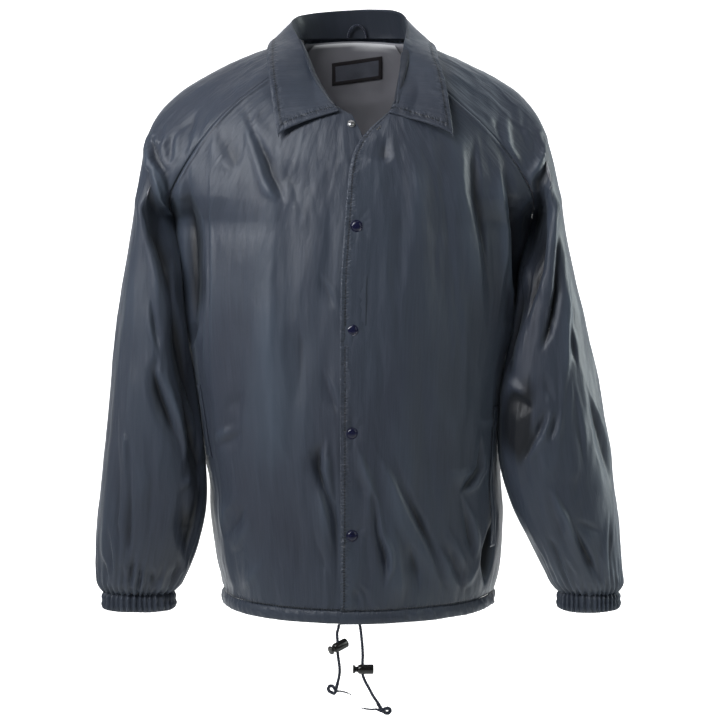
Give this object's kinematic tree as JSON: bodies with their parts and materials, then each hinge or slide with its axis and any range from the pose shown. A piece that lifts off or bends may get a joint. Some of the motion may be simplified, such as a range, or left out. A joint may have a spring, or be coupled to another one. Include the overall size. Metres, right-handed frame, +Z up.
{
  "type": "coach jacket",
  "caption": "Snap-front nylon coach jacket with raglan sleeves, shirt collar, elastic cuffs and a drawcord hem, filled out with no wearer.",
  "frame": {"origin": "between the shoulders, level with the neck seam at the side of the neck, where the wearer's shoulders carry the jacket", "axes": "+Z up from hem to collar, the front faces -Y, and the wearer's right side is at -X"},
  "size_m": [0.6955, 0.2954, 0.9021],
  "materials": {
    "shell_fabric": "satin nylon taffeta, dark slate navy",
    "lining_fabric": "soft matt brushed lining, pale grey",
    "label_fabric": "woven label, bare",
    "cord": "twisted navy cord with pale flecks",
    "snap_navy": "glossy enamel, navy",
    "snap_steel": "plated steel",
    "lock_plastic": "glossy black"
  },
  "bodies": {
    "jacket": {"front_right": "shell_fabric", "front_left": "shell_fabric", "back_panel": "shell_fabric", "sleeve_right": "shell_fabric", "sleeve_left": "shell_fabric", "cuff_right": "shell_fabric", "cuff_left": "shell_fabric", "pocket_welt_right": "shell_fabric", "pocket_welt_left": "shell_fabric", "hem_casing_front_right": "shell_fabric", "hem_casing_front_left": "shell_fabric", "hem_casing_back": "shell_fabric", "collar": "shell_fabric", "lining_back": "lining_fabric", "label": "label_fabric", "hanger_loop": "cord", "snap_cap_1": "snap_navy", "snap_cap_2": "snap_navy", "snap_cap_3": "snap_navy", "snap_cap_4": "snap_navy", "snap_stud_top": "snap_steel", "snap_socket_top": "snap_steel", "drawcord_1": "cord", "cord_knot_1": "cord", "cord_lock_barrel_1": "lock_plastic", "drawcord_2": "cord", "cord_knot_2": "cord", "cord_lock_barrel_2": "lock_plastic"},
    "lock_button_1": {"cord_lock_button_1": "lock_plastic"},
    "lock_button_2": {"cord_lock_button_2": "lock_plastic"}
  },
  "joints": [
    {"name": "lock_press_1", "type": "slide", "parent": "jacket", "child": "lock_button_1", "axis": [-0.7715, -0.5711, -0.2805], "range_m": [-0.0025, 0], "stiffness_N_per_m": 200},
    {"name": "lock_press_2", "type": "slide", "parent": "jacket", "child": "lock_button_2", "axis": [-1, 0, 0], "range_m": [-0.0025, 0], "stiffness_N_per_m": 200}
  ]
}
